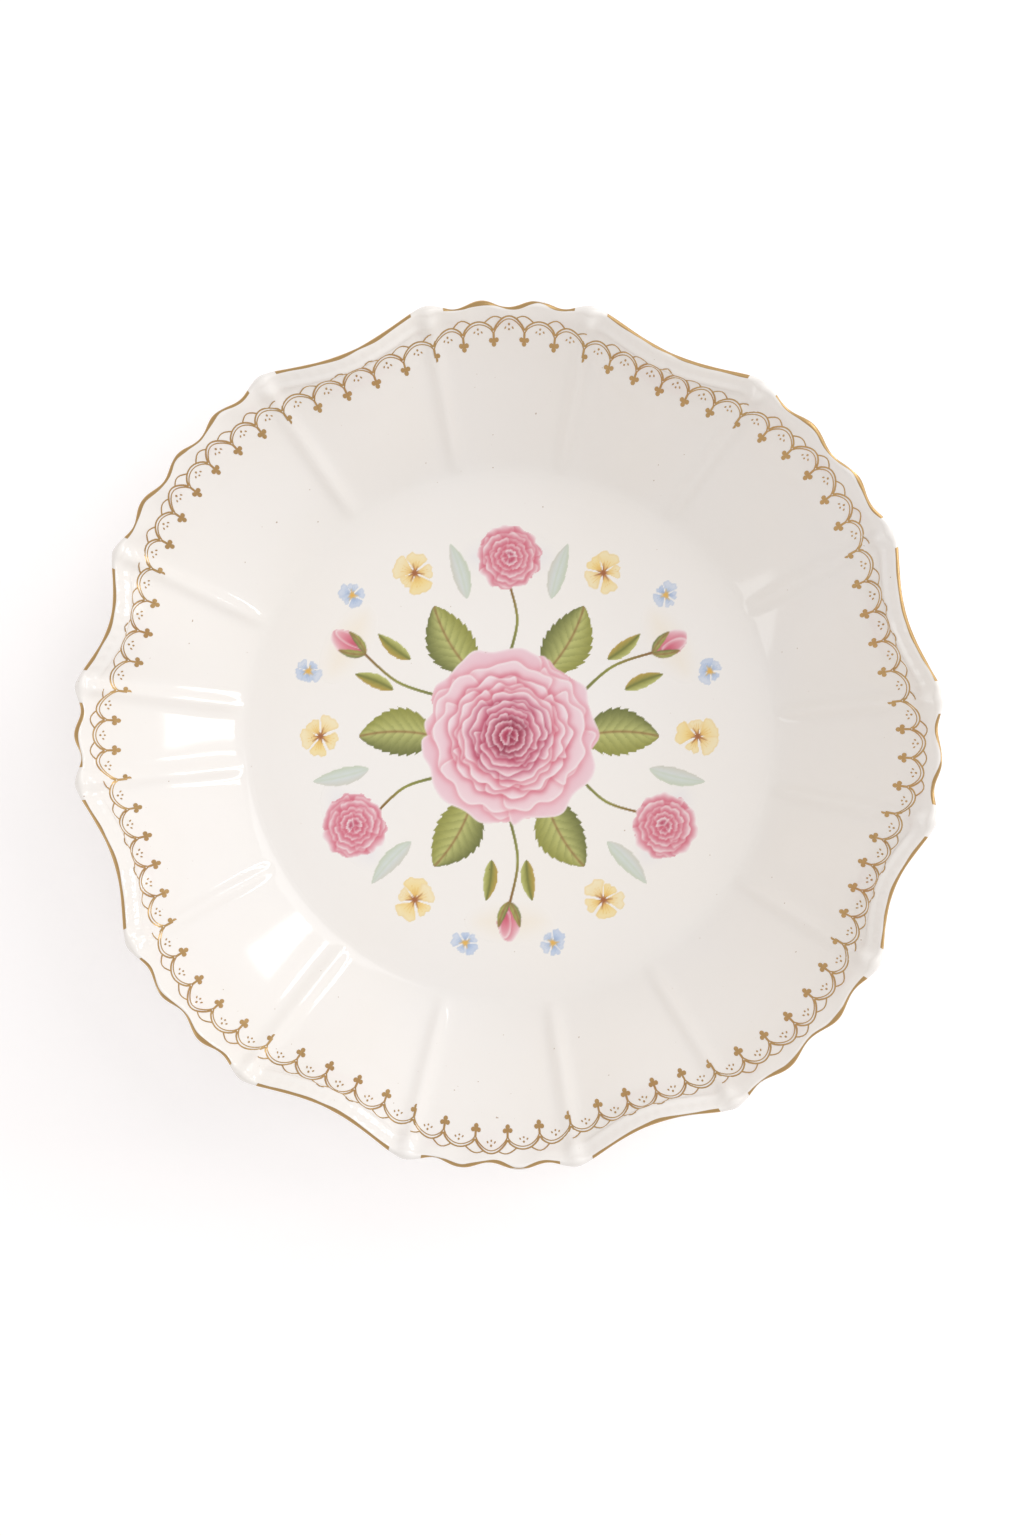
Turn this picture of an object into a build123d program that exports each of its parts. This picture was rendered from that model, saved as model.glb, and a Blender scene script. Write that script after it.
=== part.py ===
"""Porcelain serving bowl: a fluted wall, a rim of swags and scallops, gilding and a flower transfer.

Millimetres, +Z up. The origin is the centre of the foot's resting face.
Bearings are in degrees clockwise from +Y, as on a compass seen from above.
"""

import os
from math import cos, exp, hypot, pi, radians, sin

from build123d import *

# Overall sizes.
RIM_RADIUS = 131.0
RIM_HEIGHT = 52.0
WELL_RADIUS = 81.0
WELL_HEIGHT = 8.0
WELL_THICKNESS = 4.2
WALL_THICKNESS = 3.2
# The share of its thickness that the wall loses, measured straight down, by the time it meets the lip.
WALL_TAPER = 0.5
LIP_WIDTH = 1.0
LIP_ROUNDING = 1.2
# Where the lip's rounding starts below its top, and how far it stands in there, as shares of it.
LIP_START = 2.0
LIP_DRAFT = 1 / 3

# The foot ring, ground flat and left bare of glaze.
FOOT_RADIUS = 68.0
FOOT_WIDTH = 5.0
FOOT_CHAMFER = 1.0
FOOT_INTO_BODY = 1.5

# Rim plan: the bearing of its first point, then the angle of each stretch, a scallop first.
FIRST_POINT = -11.0
SPANS = [22, 25, 26, 23, 16.5, 20.5, 26.5, 22.5, 23, 24, 23, 22.5, 13, 18.5, 30, 24]
SWAG_DEPTH = 6.6
POINT_ROUNDING = 0.12
SCALLOP_FALL = 0.8
RIPPLE_DEPTH = 1.9
RIPPLE_SPAN = 8.5

# Ribs that run up the wall to the points of the rim.
RIB_HEIGHT = 1.9
RIB_HALF_WIDTH = 2.5

# The inside of the wall, level by level. Each level gives the share of the height from well to
# rim, the share of the run from well to rim, and how much of the rim's wave, of its ripples
# and of the ribs has grown in there.
LEVELS = [
    (0.0, 0.0, 0.0, 0.0, 0.0),
    (0.015, 0.05, 0.0, 0.0, 0.1),
    (0.065, 0.125, 0.08, 0.0, 0.6),
    (0.19, 0.27, 0.2, 0.0, 1.0),
    (0.39, 0.48, 0.36, 0.0, 1.0),
    (0.565, 0.65, 0.48, 0.0, 1.0),
    (0.7, 0.77, 0.6, 0.2, 1.0),
    (0.84, 0.88, 0.82, 0.6, 1.0),
    (0.945, 0.96, 1.0, 1.0, 1.0),
    (1.0, 1.0, 1.0, 1.0, 1.0),
]
POINTS_PER_STRETCH = 14

# Fired-on decoration: thin films that follow the porcelain's surface.
FILM = 0.15
WALL_FILM = 0.22
GILDING_GAP = 2.6

# Gold lace border below the rim: arches, with a drop hanging from each joint between them.
LACE_INSET = 11.4
LACE_WAVE = 2.8
LACE_PITCH = 9.2
LACE_ARCH = 3.0
LACE_LINE = 0.9
DROP_LENGTH = 4.0
DROP_WIDTH = 2.6
DROP_WAIST = 0.6
LACE_RADIUS = RIM_RADIUS - LACE_INSET

# Flower transfer on the well: a round rose in the middle and one garland repeated round it.
# Radii are from the centre of the bowl, as drawn for a well of TRANSFER_WELL; on another well the
# whole transfer grows or shrinks with it. Bearings are those of the first garland.
TRANSFER_WELL = 81.0
GARLANDS = 3
ROSE_RADIUS = 27.0
ROSE_INNER = 0.7
ROSE_HEART = 0.34
ROSE_LOBES = 9
LOBE_DEPTH = 0.06
SMALL_ROSE_BEARING = 0.0
SMALL_ROSE_PLACE = 56.0
SMALL_ROSE_RADIUS = 10.0
BUD_BEARING = 60.0
BUD_PLACE = 58.0
BUD_SIZE = (4.6, 6.4)
STEM_WIDTH = 0.9

# Leaves as (bearings, radius of the base, radius of the tip, width).
ROSE_LEAVES = ([30.0, 90.0], 23.0, 47.0, 15.0)
PALE_LEAVES = ([-17.0, 17.0], 45.0, 63.0, 5.5)
SPRIG_LEAVES = ([52.0, 68.0], 39.0, 52.0, 4.5)
# Blossoms as (bearings, radius of the place, radius of the blossom).
YELLOW_BLOSSOMS = ([30.0, 90.0], 59.0, 6.0)
BLUE_BLOSSOMS = ([48.0, 72.0], 66.0, 3.8)
BLOSSOM_PETALS = 5
PETAL_SHARE = 0.45
EYE_SHARE = 0.35
POINTS_PER_LOBE = 4
# Stems as (bearing, radius of the base, radius of the tip, sway of the middle in degrees).
STEMS = [
    (SMALL_ROSE_BEARING, 25.0, 48.0, 4.0),
    (BUD_BEARING, 25.0, 53.0, -4.0),
]

STRETCHES = []
_start = FIRST_POINT
for _number, _span in enumerate(SPANS):
    STRETCHES.append((_start, _span, "scallop" if _number % 2 == 0 else "swag"))
    _start += _span


def on_compass(bearing, radius):
    return radius * sin(radians(bearing)), radius * cos(radians(bearing))


def wave(span, kind, u, ripple_share):
    """How far the rim falls inside its radius at the share u of a stretch."""
    if kind == "swag":
        curve = hypot(sin(pi * u), POINT_ROUNDING) - POINT_ROUNDING
        return SWAG_DEPTH * curve / (hypot(1, POINT_ROUNDING) - POINT_ROUNDING)
    ripples = max(2, round(span / RIPPLE_SPAN))
    ripple = (1 - cos(2 * pi * ripples * u)) / 2
    return SCALLOP_FALL * sin(pi * u) + ripple_share * RIPPLE_DEPTH * ripple


def rib(span, u, radius):
    """Height of the ribs at the share u of a stretch."""
    from_point = radians(span) * min(u, 1 - u) * radius
    return RIB_HEIGHT * exp(-((from_point / RIB_HALF_WIDTH) ** 2))


def ring(height, radius, wave_share=0.0, ripple_share=0.0, rib_share=0.0):
    """A closed smooth curve round the bowl at one height."""
    points, places = [], []
    for start, span, kind in STRETCHES:
        for i in range(POINTS_PER_STRETCH):
            u = i / POINTS_PER_STRETCH
            inset = wave_share * wave(span, kind, u, ripple_share) + rib_share * rib(span, u, radius)
            x, y = on_compass(start + span * u, radius - inset)
            points.append(Vector(x, y, height))
            places.append((start + span * u - FIRST_POINT) / 360)
    return Wire([Edge.make_spline(points, periodic=True, parameters=places + [1.0])])


def inside_rings(inset=0.0):
    run = RIM_RADIUS - LIP_WIDTH - LIP_ROUNDING / 2 - WELL_RADIUS
    rise = RIM_HEIGHT - WELL_HEIGHT
    rings = []
    for up, out, wave_share, ripple_share, rib_share in LEVELS:
        radius = WELL_RADIUS + out * run - inset
        rings.append(ring(WELL_HEIGHT + up * rise, radius, wave_share, ripple_share, rib_share))
    return rings


def outside_rings():
    """The outside follows the inside a wall's thickness away, then rounds up over the lip."""
    run = RIM_RADIUS - LIP_WIDTH - LIP_ROUNDING / 2 - WELL_RADIUS
    rise = RIM_HEIGHT - WELL_HEIGHT
    rings = [ring(WELL_HEIGHT - WELL_THICKNESS, WELL_RADIUS - WELL_THICKNESS)]
    for up, out, wave_share, ripple_share, _ in LEVELS[1:-2]:
        height = WELL_HEIGHT + up * rise - WALL_THICKNESS * (1 - up * WALL_TAPER)
        radius = WELL_RADIUS + out * run + WALL_THICKNESS / 2 * (1 + up)
        rings.append(ring(height, radius, wave_share, ripple_share))
    lip_start = RIM_HEIGHT - LIP_ROUNDING * LIP_START
    rings.append(ring(lip_start, RIM_RADIUS - LIP_ROUNDING * LIP_DRAFT, 1.0, 1.0))
    rings.append(ring(RIM_HEIGHT - LIP_ROUNDING, RIM_RADIUS, 1.0, 1.0))
    rings.append(ring(RIM_HEIGHT, RIM_RADIUS - LIP_ROUNDING / 2, 1.0, 1.0))
    return rings


def porcelain():
    """The one fired piece: wall, well, rim and foot ring."""
    body = Solid.make_loft(outside_rings()) - Solid.make_loft(inside_rings())
    depth = WELL_HEIGHT - WELL_THICKNESS + FOOT_INTO_BODY
    up_from_floor = (Align.CENTER, Align.CENTER, Align.MIN)
    foot = Cylinder(FOOT_RADIUS, depth, align=up_from_floor)
    foot -= Cylinder(FOOT_RADIUS - FOOT_WIDTH, depth, align=up_from_floor)
    resting = foot.faces().sort_by(Axis.Z)[0]
    foot = chamfer(resting.edges(), FOOT_CHAMFER)
    return body + foot


def rim_gilding():
    """A gold line on the top of the lip, worn away at each point of the rim."""
    strips = []
    inset = LIP_ROUNDING / 2
    for start, span, kind in STRETCHES:
        worn = GILDING_GAP / span
        edges = []
        for radius in (RIM_RADIUS - inset, RIM_RADIUS - inset - LIP_WIDTH):
            points = []
            for i in range(POINTS_PER_STRETCH + 1):
                u = worn + (1 - 2 * worn) * i / POINTS_PER_STRETCH
                points.append(on_compass(start + span * u, radius - wave(span, kind, u, 1.0)))
            edges.append(Spline(points))
        outer, inner = edges
        ends = [Line(outer @ 0, inner @ 0), Line(outer @ 1, inner @ 1)]
        plan = Pos(0, 0, RIM_HEIGHT) * make_face([*edges, *ends])
        strips += extrude(plan, FILM, dir=(0, 0, 1)).solids()
    return strips


def lace_radius(kind, u):
    """Radius of the joints between the arches, at the share u of a stretch."""
    swing = LACE_WAVE * sin(pi * u)
    return LACE_RADIUS + (swing if kind == "scallop" else -swing)


def lace_plan(start, span, kind):
    """One stretch of the border seen from above: arches, with a drop hanging from each joint."""
    count = round(radians(span) * LACE_RADIUS / LACE_PITCH)
    joints = [(start + span * i / count, lace_radius(kind, i / count)) for i in range(count + 1)]
    ribbons = []
    for (left, left_radius), (right, right_radius) in zip(joints, joints[1:]):
        crown = (left_radius + right_radius) / 2 + LACE_ARCH
        arcs = []
        for rise in (LACE_LINE / 2, -LACE_LINE / 2):
            arcs.append(ThreePointArc(
                on_compass(left, left_radius + rise),
                on_compass((left + right) / 2, crown + rise),
                on_compass(right, right_radius + rise),
            ))
        outer, inner = arcs
        ends = [Line(outer @ 0, inner @ 0), Line(outer @ 1, inner @ 1)]
        ribbons.append(make_face([outer, inner, *ends]))
    drops = [lace_drop(bearing, radius) for bearing, radius in joints[1:-1]]
    return Sketch() + ribbons + drops


def lace_drop(bearing, radius):
    """A pointed drop that hangs inward from a joint."""
    half, widest = DROP_WIDTH / 2, radius - DROP_LENGTH * DROP_WAIST
    corners = [(0, radius), (half, widest), (0, radius - DROP_LENGTH), (-half, widest)]
    return Rot(0, 0, -bearing) * make_face(Polyline(*corners, close=True))


def gold_lace():
    """The border's film, one strip to each stretch of the rim."""
    skin = Solid.make_loft(inside_rings()) - Solid.make_loft(inside_rings(WALL_FILM))
    strips = []
    for start, span, kind in STRETCHES:
        tall = extrude(lace_plan(start, span, kind), RIM_HEIGHT)
        strips += (tall & skin).solids()
    return strips


def lobed(radius, lobes):
    """A round outline with this many soft lobes, for roses."""
    points = []
    for i in range(lobes * POINTS_PER_LOBE):
        angle = 2 * pi * i / (lobes * POINTS_PER_LOBE)
        swell = radius * (1 - LOBE_DEPTH * (1 - cos(lobes * angle)) / 2)
        points.append((swell * cos(angle), swell * sin(angle)))
    return make_face(Spline(points, periodic=True))


def repeated(bearings):
    """These bearings in every garland."""
    turn = 360 / GARLANDS
    return [bearing + turn * number for number in range(GARLANDS) for bearing in bearings]


def leaves(bearings, base, tip, width):
    """Pointed leaves between two arcs, each along its own bearing."""
    found = []
    for bearing in repeated(bearings):
        halfway = (base + tip) / 2
        left = ThreePointArc((0, base), (-width / 2, halfway), (0, tip))
        right = ThreePointArc((0, tip), (width / 2, halfway), (0, base))
        found.append(Rot(0, 0, -bearing) * make_face(left + right))
    return found


def blossoms(bearings, place, radius):
    """Petals round an eye, with neighbours overlapping into one film."""
    petal = radius * PETAL_SHARE
    plan = Sketch() + Circle(radius * EYE_SHARE)
    for turned in PolarLocations(radius - petal, BLOSSOM_PETALS):
        plan += turned * Circle(petal)
    return [Pos(*on_compass(bearing, place)) * plan for bearing in repeated(bearings)]


def stems():
    """Stems that sway a little on their way out from the rose."""
    found = []
    for bearing, base, tip, sway in STEMS:
        for turned in repeated([bearing]):
            bend = on_compass(turned + sway, (base + tip) / 2)
            line = Spline([on_compass(turned, base), bend, on_compass(turned, tip)])
            found.append(trace(line, STEM_WIDTH))
    return found


def small_roses():
    outline = lobed(SMALL_ROSE_RADIUS, ROSE_LOBES - 2)
    bearings = repeated([SMALL_ROSE_BEARING])
    return [Rot(0, 0, -bearing) * Pos(0, SMALL_ROSE_PLACE) * outline for bearing in bearings]


def rosebuds():
    outline = Ellipse(*BUD_SIZE)
    return [Rot(0, 0, -bearing) * Pos(0, BUD_PLACE) * outline for bearing in repeated([BUD_BEARING])]


def flower_films():
    """The flower transfer, cut into films that lie edge to edge and never on one another."""
    ordered = {
        "rose_heart": [lobed(ROSE_RADIUS * ROSE_HEART, ROSE_LOBES - 4)],
        "rose_inner_petals": [lobed(ROSE_RADIUS * ROSE_INNER, ROSE_LOBES - 2)],
        "rose_outer_petals": [lobed(ROSE_RADIUS, ROSE_LOBES)],
        "small_rose": small_roses(),
        "rosebud": rosebuds(),
        "blue_blossoms": blossoms(*BLUE_BLOSSOMS),
        "yellow_blossoms": blossoms(*YELLOW_BLOSSOMS),
        "rose_leaves": leaves(*ROSE_LEAVES),
        "pale_leaves": leaves(*PALE_LEAVES),
        "sprig": leaves(*SPRIG_LEAVES),
        "stems": stems(),
    }
    films, above = {}, Sketch()
    for name, outlines in ordered.items():
        plan = Sketch() + outlines
        visible = scale(plan - above, WELL_RADIUS / TRANSFER_WELL)
        above = above + plan
        films[name] = extrude(Pos(0, 0, WELL_HEIGHT) * visible, FILM, dir=(0, 0, 1)).solids()
    return films


def save(name, solids):
    shape = solids[0] if len(solids) == 1 else Compound(children=solids)
    shape.label = name
    export_step(shape, f"parts/{name}.step")
    print(name, len(solids), all(s.is_valid for s in solids), round(sum(s.volume for s in solids), 2))


def main():
    os.makedirs("parts", exist_ok=True)
    save("porcelain_body", porcelain().solids())
    save("rim_gilding", rim_gilding())
    save("gold_lace", gold_lace())
    for name, solids in flower_films().items():
        save(name, solids)


main()
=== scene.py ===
"""A porcelain serving bowl with a scalloped, gilded rim and a flower transfer, built as a Blender add-on."""

from math import cos, exp, hypot, pi, radians, sin

import bmesh
import bpy
import numpy as np
from bpy.props import FloatProperty, FloatVectorProperty, PointerProperty
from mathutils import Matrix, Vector, noise


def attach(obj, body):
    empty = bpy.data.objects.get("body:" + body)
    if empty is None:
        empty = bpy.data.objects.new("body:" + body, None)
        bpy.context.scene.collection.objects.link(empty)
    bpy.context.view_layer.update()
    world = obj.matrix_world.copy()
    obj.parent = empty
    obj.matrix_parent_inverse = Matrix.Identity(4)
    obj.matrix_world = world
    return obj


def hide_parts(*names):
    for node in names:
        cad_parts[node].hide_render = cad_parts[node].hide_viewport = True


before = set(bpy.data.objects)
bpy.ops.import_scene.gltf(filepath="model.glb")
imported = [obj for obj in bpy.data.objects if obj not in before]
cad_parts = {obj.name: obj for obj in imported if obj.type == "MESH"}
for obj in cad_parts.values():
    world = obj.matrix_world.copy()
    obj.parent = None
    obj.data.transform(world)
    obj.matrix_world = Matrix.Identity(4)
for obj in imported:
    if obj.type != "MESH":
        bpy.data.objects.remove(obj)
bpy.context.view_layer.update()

bl_info = {
    "name": "Porcelain serving bowl",
    "version": (1, 0, 0),
    "blender": (4, 5, 0),
    "location": "View3D > Sidebar > Bowl",
    "description": "Builds a fluted porcelain bowl with a gilded rim, a lace border and a flower transfer",
    "category": "Object",
}

MM = 0.001

# Rim plan, clockwise from above: the bearing of its first point, then the angle of each stretch,
# a scallop first.
FIRST_POINT = -11.0
SPANS = [22, 25, 26, 23, 16.5, 20.5, 26.5, 22.5, 23, 24, 23, 22.5, 13, 18.5, 30, 24]
STEPS = 48

# Small sizes of the rim and the wall.
POINT_ROUNDING = 0.12
SCALLOP_FALL = 0.8 * MM
RIPPLE_SPAN = 8.5
LIP_INSET = 1.6 * MM
RIB_HALF_WIDTH = 2.5 * MM

# The inside of the wall, level by level: shares of the height and of the run from well to rim,
# then how much of the rim's wave, of its ripples and of the ribs has grown in.
LEVELS = [
    (0.0, 0.0, 0.0, 0.0, 0.0),
    (0.015, 0.05, 0.0, 0.0, 0.1),
    (0.065, 0.125, 0.08, 0.0, 0.6),
    (0.19, 0.27, 0.2, 0.0, 1.0),
    (0.39, 0.48, 0.36, 0.0, 1.0),
    (0.565, 0.65, 0.48, 0.0, 1.0),
    (0.7, 0.77, 0.6, 0.2, 1.0),
    (0.84, 0.88, 0.82, 0.6, 1.0),
    (0.945, 0.96, 1.0, 1.0, 1.0),
    (1.0, 1.0, 1.0, 1.0, 1.0),
]


def stretches():
    """(start, span, kind) of each stretch of the rim."""
    found, start = [], FIRST_POINT
    for number, span in enumerate(SPANS):
        found.append((start, span, "swag" if number % 2 else "scallop"))
        start += span
    return found


STRETCHES = stretches()


# --- Sizes and colours


class BowlSizes(bpy.types.PropertyGroup):
    rim_radius: FloatProperty(
        name="Rim radius", description="Radius to the points of the rim",
        default=131 * MM, unit="LENGTH")
    rim_height: FloatProperty(
        name="Rim height", description="Height of the lip above the table",
        default=52 * MM, unit="LENGTH")
    well_radius: FloatProperty(
        name="Well radius", description="Radius of the flat well", default=81 * MM, unit="LENGTH")
    well_height: FloatProperty(
        name="Well height", description="Height of the well above the table",
        default=8 * MM, unit="LENGTH")
    wall: FloatProperty(
        name="Wall", description="Thickness of the wall", default=3.2 * MM, unit="LENGTH")
    foot_radius: FloatProperty(
        name="Foot radius", description="Outer radius of the foot ring",
        default=68 * MM, unit="LENGTH")
    foot_width: FloatProperty(
        name="Foot width", description="Width of the foot ring", default=5 * MM, unit="LENGTH")
    swag_depth: FloatProperty(
        name="Swag depth", description="How far a swag's middle falls inside the points",
        default=6.6 * MM, unit="LENGTH")
    ripple_depth: FloatProperty(
        name="Ripple depth", description="Depth of the ripples along a scallop",
        default=1.9 * MM, unit="LENGTH")
    rib_height: FloatProperty(
        name="Rib height", description="Height of the ribs on the wall",
        default=1.9 * MM, unit="LENGTH")
    reed_height: FloatProperty(
        name="Reed height", description="Height of the fine reeding by the rim",
        default=0.22 * MM, unit="LENGTH")


class LaceSizes(bpy.types.PropertyGroup):
    radius: FloatProperty(
        name="Border radius", description="Radius of the joints between the arches",
        default=119.6 * MM, unit="LENGTH")
    swing: FloatProperty(
        name="Border wave", description="How far the border follows the rim in and out",
        default=2.8 * MM, unit="LENGTH")
    pitch: FloatProperty(
        name="Pitch", description="Length of one arch", default=9.2 * MM, unit="LENGTH")
    line: FloatProperty(
        name="Line", description="Width of the gold line", default=0.6 * MM, unit="LENGTH")
    lift: FloatProperty(
        name="Lift", description="Height of the gold above the glaze",
        default=0.05 * MM, unit="LENGTH")


class GlazeLook(bpy.types.PropertyGroup):
    porcelain: FloatVectorProperty(
        name="Porcelain", description="Colour of the glazed porcelain", subtype="COLOR",
        size=3, default=(0.885, 0.858, 0.832))
    bisque: FloatVectorProperty(
        name="Bisque", description="Colour of the bare ground foot", subtype="COLOR",
        size=3, default=(0.72, 0.67, 0.6))
    gold: FloatVectorProperty(
        name="Gold", description="Colour of the fired gold", subtype="COLOR",
        size=3, default=(0.56, 0.29, 0.055))
    worn: FloatVectorProperty(
        name="Worn gold", description="Colour of the gold where it is rubbed", subtype="COLOR",
        size=3, default=(0.2, 0.1, 0.035))
    roughness: FloatProperty(
        name="Glaze roughness", description="Roughness of the glaze",
        default=0.07, min=0.0, max=1.0, subtype="FACTOR")


GROUPS = {"bowl": BowlSizes, "lace": LaceSizes, "glaze": GlazeLook}


# --- The wall's surface


def on_compass(bearing, radius):
    return radius * sin(radians(bearing)), radius * cos(radians(bearing))


def wave(span, kind, u, ripple_share):
    """How far the rim falls inside its radius at the share u of a stretch."""
    bowl = bpy.context.scene.bowl
    if kind == "swag":
        curve = hypot(sin(pi * u), POINT_ROUNDING) - POINT_ROUNDING
        return bowl.swag_depth * curve / (hypot(1, POINT_ROUNDING) - POINT_ROUNDING)
    ripples = max(2, round(span / RIPPLE_SPAN))
    ripple = (1 - cos(2 * pi * ripples * u)) / 2
    return SCALLOP_FALL * sin(pi * u) + ripple_share * bowl.ripple_depth * ripple


def level(t):
    """Smoothly read LEVELS at t from 0 at the well to 1 at the lip."""
    place = min(max(t, 0.0), 1.0) * (len(LEVELS) - 1)
    i = min(int(place), len(LEVELS) - 2)
    f = place - i
    before = LEVELS[max(i - 1, 0)]
    after = LEVELS[min(i + 2, len(LEVELS) - 1)]
    mixed = []
    for p0, p1, p2, p3 in zip(before, LEVELS[i], LEVELS[i + 1], after):
        mixed.append(0.5 * (2 * p1 + (p2 - p0) * f + (2 * p0 - 5 * p1 + 4 * p2 - p3) * f * f
                            + (3 * p1 - p0 - 3 * p2 + p3) * f ** 3))
    return mixed


def inside(number, u, t, ribbed=True):
    """(radius, height) of the inside at the share u of a stretch, with or without its ribs."""
    bowl = bpy.context.scene.bowl
    _, span, kind = STRETCHES[number]
    up, out, waves, ripples, ribs = level(t)
    run = bowl.rim_radius - LIP_INSET - bowl.well_radius
    radius = bowl.well_radius + out * run
    from_point = radians(span) * min(u, 1 - u) * radius
    ridge = bowl.rib_height * exp(-((from_point / RIB_HALF_WIDTH) ** 2)) if ribbed else 0.0
    radius -= waves * wave(span, kind, u, ripples) + ribs * ridge
    return radius, bowl.well_height + up * (bowl.rim_height - bowl.well_height)


def relief(number, u, t):
    """Height of the moulded detail by the rim: a ridge with reeds in a swag, ripples in a scallop."""
    bowl = bpy.context.scene.bowl
    _, span, kind = STRETCHES[number]
    ends = min(1.0, min(u, 1 - u) * span / 3.0)
    knob = 1.1 * MM * exp(-((min(u, 1 - u) * span / 1.1) ** 2) - ((t - 0.88) / 0.07) ** 2)
    if kind == "swag":
        ridge = 0.9 * MM * exp(-(((t - 0.85) / 0.028) ** 2))
        band = max(0.0, min((t - 0.87) / 0.03, (0.99 - t) / 0.03, 1.0))
        reeds = bowl.reed_height * band * (0.5 + 0.5 * cos(2 * pi * round(span / 1.6) * u))
        return knob + ends * (ridge + reeds)
    band = max(0.0, min((t - 0.62) / 0.25, 1.0))
    count = max(2, round(span / RIPPLE_SPAN))
    return knob + ends * band * 0.45 * MM * cos(2 * pi * count * u)


def surface(number, u, t, lift=0.0):
    """A point on the inside of the wall, raised by lift along the surface's slope."""
    start, span, _ = STRETCHES[number]
    radius, height = inside(number, u, t)
    ahead = inside(number, u, min(1.0, t + 0.01))
    behind = inside(number, u, max(0.0, t - 0.01))
    across, rise = ahead[0] - behind[0], ahead[1] - behind[1]
    length = hypot(across, rise) or 1.0
    lift += relief(number, u, t)
    radius -= lift * rise / length
    height += lift * across / length
    x, y = on_compass(start + span * u, radius)
    return Vector((x, y, height))


def level_at(number, u, radius):
    """The t at which the inside has this radius."""
    low, high = 0.0, 1.0
    for _ in range(26):
        middle = (low + high) / 2
        if inside(number, u, middle)[0] < radius:
            low = middle
        else:
            high = middle
    return (low + high) / 2


# --- Meshes and materials


def deselect():
    if bpy.context.object and bpy.context.object.mode != "OBJECT":
        bpy.ops.object.mode_set(mode="OBJECT")
    bpy.ops.object.select_all(action="DESELECT")


def pick(obj):
    deselect()
    obj.select_set(True)
    bpy.context.view_layer.objects.active = obj


def fresh(name):
    """Remove an earlier piece of this name, so that an operator can be run again."""
    old = bpy.data.objects.get(name)
    if old is not None and old.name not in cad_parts:
        bpy.data.objects.remove(old)


def add_mesh(name, verts, faces, material=None, colours=None, smooth=True):
    """A piece from its points and faces, with a colour for each point if colours are given."""
    fresh(name)
    mesh = bpy.data.meshes.new(name)
    mesh.from_pydata([tuple(v) for v in verts], [], faces)
    mesh.update()
    if colours is not None:
        layer = mesh.color_attributes.new("paint", "FLOAT_COLOR", "POINT")
        layer.data.foreach_set("color", [c for colour in colours for c in (*colour, 1.0)])
    obj = bpy.data.objects.new(name, mesh)
    bpy.context.scene.collection.objects.link(obj)
    if material:
        mesh.materials.append(material)
    pick(obj)
    if smooth:
        bpy.ops.object.shade_smooth()
    return obj


def new_material(name):
    """(material, its nodes, its links, its Principled BSDF), made afresh."""
    old = bpy.data.materials.get(name)
    if old is not None:
        bpy.data.materials.remove(old)
    material = bpy.data.materials.new(name)
    material.use_nodes = True
    nodes, links = material.node_tree.nodes, material.node_tree.links
    return material, nodes, links, nodes["Principled BSDF"]


def object_noise(nodes, links, scale, detail=3.0, roughness=0.5):
    coords = nodes.new("ShaderNodeTexCoord")
    texture = nodes.new("ShaderNodeTexNoise")
    texture.inputs["Scale"].default_value = scale
    texture.inputs["Detail"].default_value = detail
    texture.inputs["Roughness"].default_value = roughness
    links.new(coords.outputs["Object"], texture.inputs["Vector"])
    return texture.outputs["Fac"]


def ramp(nodes, links, value, stops):
    node = nodes.new("ShaderNodeValToRGB")
    elements = node.color_ramp.elements
    while len(elements) < len(stops):
        elements.new(0.5)
    for element, (place, colour) in zip(elements, stops):
        element.position = place
        element.color = (*colour, 1.0)
    links.new(value, node.inputs["Fac"])
    return node.outputs["Color"]


def multiply(nodes, links, one, other, factor=1.0):
    node = nodes.new("ShaderNodeMix")
    node.data_type = "RGBA"
    node.blend_type = "MULTIPLY"
    node.inputs["Factor"].default_value = factor
    links.new(one, node.inputs["A"])
    links.new(other, node.inputs["B"])
    return node.outputs["Result"]


def add_bump(nodes, links, shader, height, distance):
    bump = nodes.new("ShaderNodeBump")
    bump.inputs["Strength"].default_value = 0.4
    bump.inputs["Distance"].default_value = distance
    links.new(height, bump.inputs["Height"])
    links.new(bump.outputs["Normal"], shader.inputs["Normal"])


def glaze_finish(nodes, links, shader):
    """The gloss and faint orange peel that all glazed pieces share."""
    glaze = bpy.context.scene.glaze
    shader.inputs["Roughness"].default_value = glaze.roughness
    shader.inputs["IOR"].default_value = 1.5
    shader.inputs["Specular IOR Level"].default_value = 0.5
    add_bump(nodes, links, shader, object_noise(nodes, links, 34.0, 1.0), 0.6 * MM)


def porcelain_tone(nodes, links):
    """Cream white that drifts a little warmer in places, with a few fine iron specks."""
    base = tuple(bpy.context.scene.glaze.porcelain)
    warm = (base[0] * 1.005, base[1] * 0.995, base[2] * 0.975)
    tone = ramp(nodes, links, object_noise(nodes, links, 14.0), [(0.35, base), (0.7, warm)])
    speck = ramp(nodes, links, object_noise(nodes, links, 900.0, 0.0),
                 [(0.09, (0.6, 0.5, 0.42)), (0.12, (1.0, 1.0, 1.0))])
    return multiply(nodes, links, tone, speck)


def porcelain_material():
    material, nodes, links, shader = new_material("porcelain")
    links.new(porcelain_tone(nodes, links), shader.inputs["Base Color"])
    glaze_finish(nodes, links, shader)
    return material


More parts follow.
